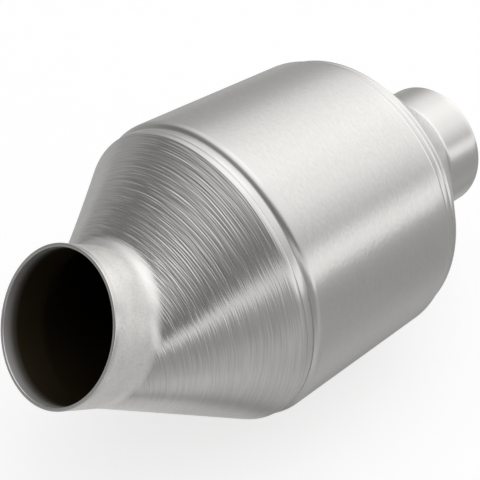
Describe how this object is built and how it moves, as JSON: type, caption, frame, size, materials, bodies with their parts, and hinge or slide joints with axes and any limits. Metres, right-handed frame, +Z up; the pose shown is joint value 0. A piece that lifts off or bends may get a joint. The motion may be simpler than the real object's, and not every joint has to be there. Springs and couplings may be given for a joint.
{
  "type": "catalytic converter",
  "caption": "Round spun stainless catalytic converter with an angled inlet neck, oblique inlet cone, ceramic honeycomb body and straight outlet neck.",
  "frame": {"origin": "centre of the outlet neck's bore, at the outlet rim", "axes": "+X along the body axis out of the outlet neck, +Z up, the inlet neck tilts up in the XZ plane"},
  "size_m": [0.2401, 0.13, 0.13],
  "materials": {
    "shell_steel": "fine spun grain, stronger lathe lines on the cones",
    "ceramic": "matt, coated",
    "fibre_mat": "matt fibre",
    "wire_mesh": "knitted wire"
  },
  "bodies": {
    "root": {"converter_shell": "shell_steel", "monolith": "ceramic", "support_mat": "fibre_mat", "inlet_seal_ring": "wire_mesh", "outlet_seal_ring": "wire_mesh"}
  },
  "joints": []
}
